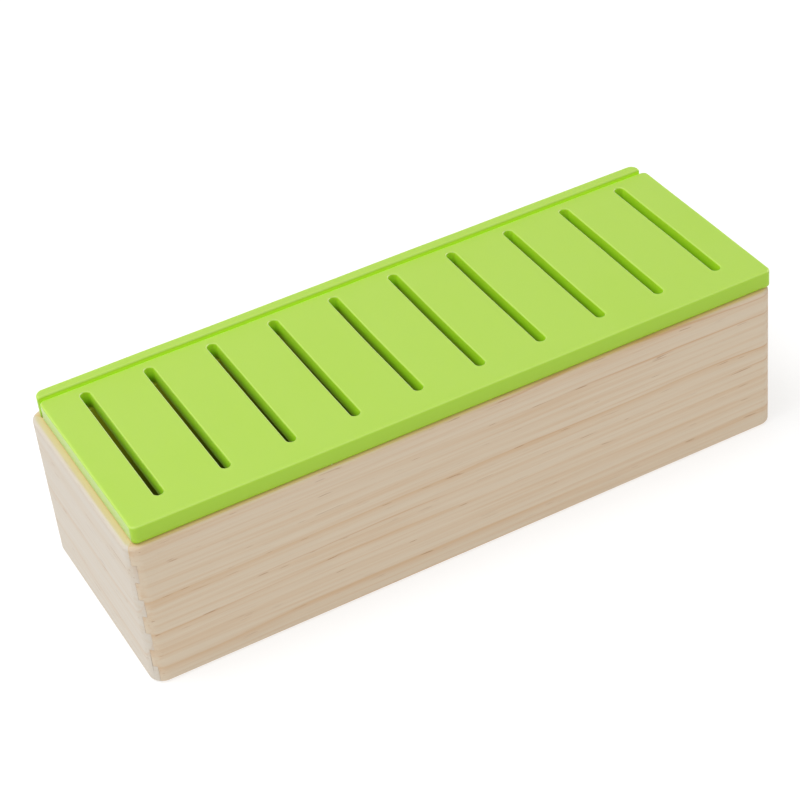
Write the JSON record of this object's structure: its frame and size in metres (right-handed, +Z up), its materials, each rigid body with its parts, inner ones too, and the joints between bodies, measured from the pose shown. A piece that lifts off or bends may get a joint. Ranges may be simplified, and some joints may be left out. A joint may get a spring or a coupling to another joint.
{
  "type": "soap loaf mould",
  "caption": "Finger-jointed pine box with a lift-out silicone liner for casting a soap loaf, closed by a silicone lid with a row of transverse slots and a raised back lip.",
  "frame": {"origin": "centre of the wooden box's footprint, on the face it rests on", "axes": "+X along the loaf to the right, +Y towards the back lip, +Z up through the lid"},
  "size_m": [0.2816, 0.0998, 0.0766],
  "materials": {
    "pine": "bare sanded pine, matte",
    "liner_silicone": "lime green silicone, slightly translucent, satin",
    "lid_silicone": "lime green silicone, slightly translucent, satin"
  },
  "bodies": {
    "box": {"front_board": "pine", "back_board": "pine", "left_end_board": "pine", "right_end_board": "pine", "base_board": "pine"},
    "liner": {"silicone_liner": "liner_silicone"},
    "lid": {"slotted_lid": "lid_silicone", "lid_rear_lip": "lid_silicone"}
  },
  "joints": [
    {"name": "liner_lift", "type": "slide", "parent": "box", "child": "liner", "axis": [0, 0, 1], "range_m": [0, 0.08]},
    {"name": "lid_lift", "type": "slide", "parent": "liner", "child": "lid", "axis": [0, 0, 1], "range_m": [0, 0.06]}
  ]
}
